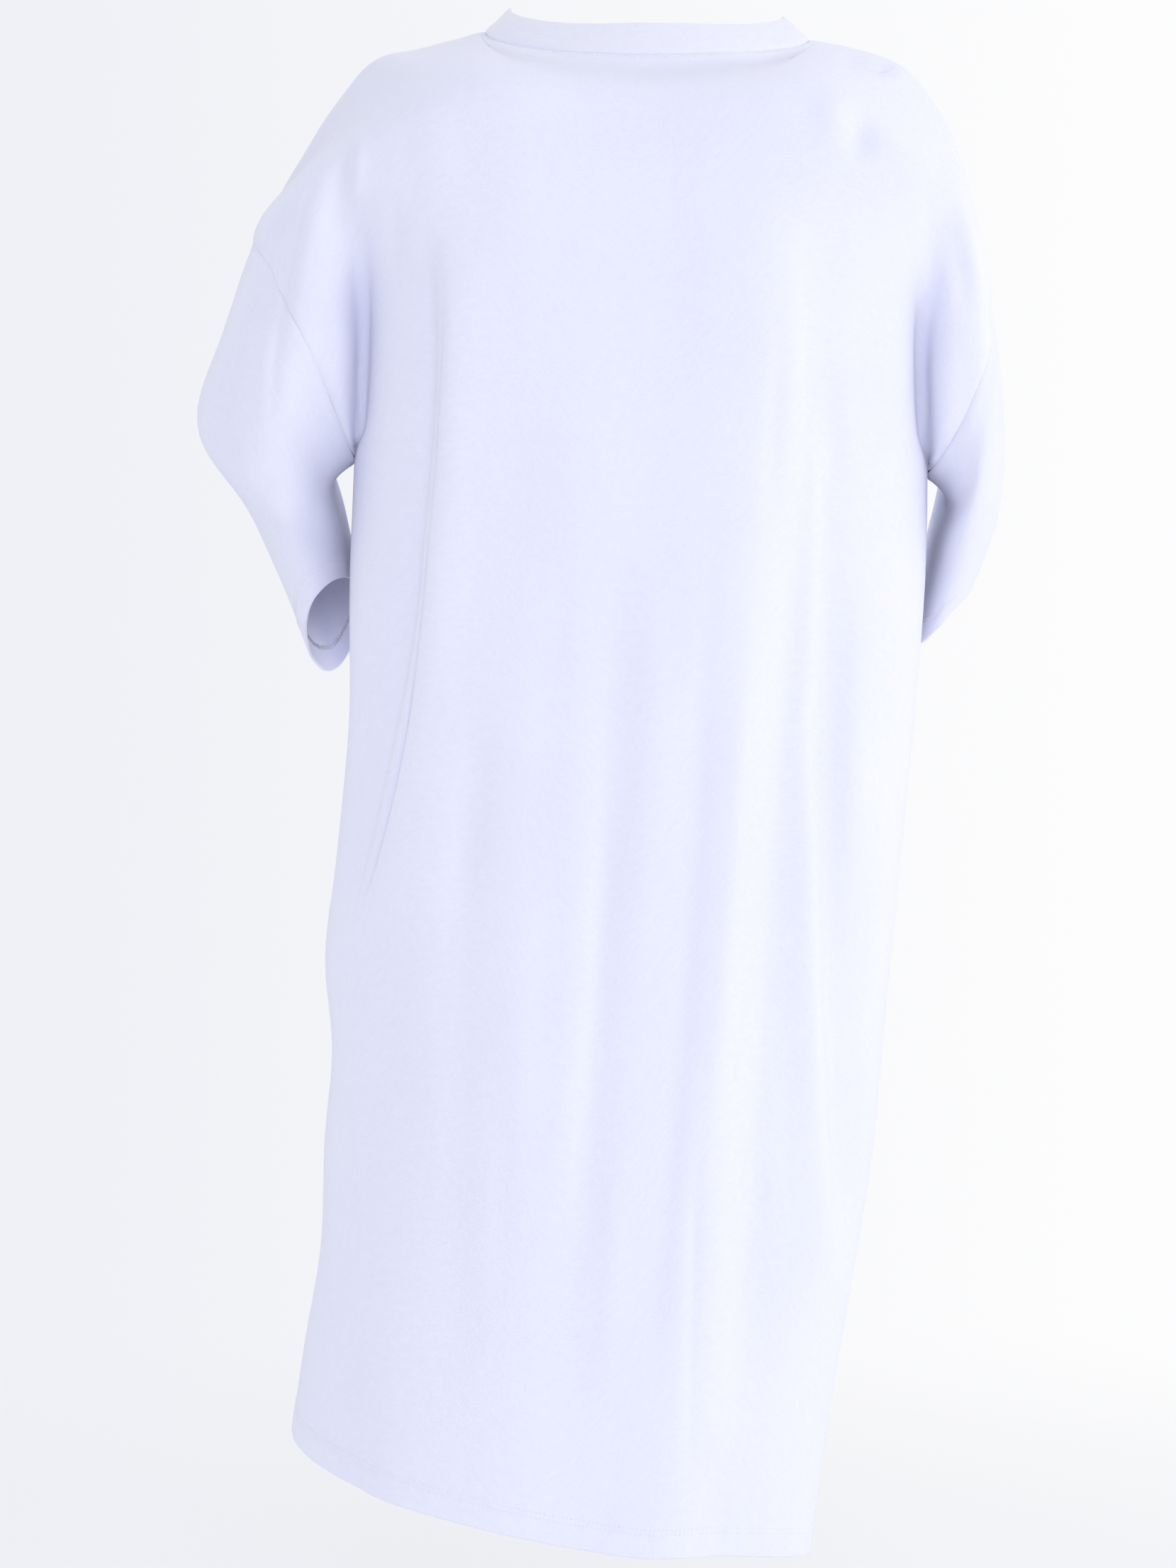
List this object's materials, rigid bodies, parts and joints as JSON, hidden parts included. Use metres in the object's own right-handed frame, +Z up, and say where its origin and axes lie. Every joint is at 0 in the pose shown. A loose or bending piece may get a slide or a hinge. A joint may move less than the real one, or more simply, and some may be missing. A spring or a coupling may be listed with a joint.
{
  "type": "t-shirt dress",
  "caption": "Oversized jersey t-shirt dress in its worn, hollow form, with dropped elbow-length sleeves, a round neckband and an open hem; no wearer.",
  "frame": {"origin": "middle of the neck opening, at the height of the shoulder seams' inner ends, where the wearer holds the dress up", "axes": "+Z up, +Y out of the back, +X toward the wearer's left"},
  "size_m": [0.5903, 0.3343, 1.1034],
  "materials": {
    "white_jersey": "smooth matte cotton jersey",
    "white_jersey_band": "doubled jersey neckband"
  },
  "bodies": {
    "root": {"back": "white_jersey", "front": "white_jersey", "sleeve_left": "white_jersey", "sleeve_right": "white_jersey", "neckband": "white_jersey_band"}
  },
  "joints": []
}
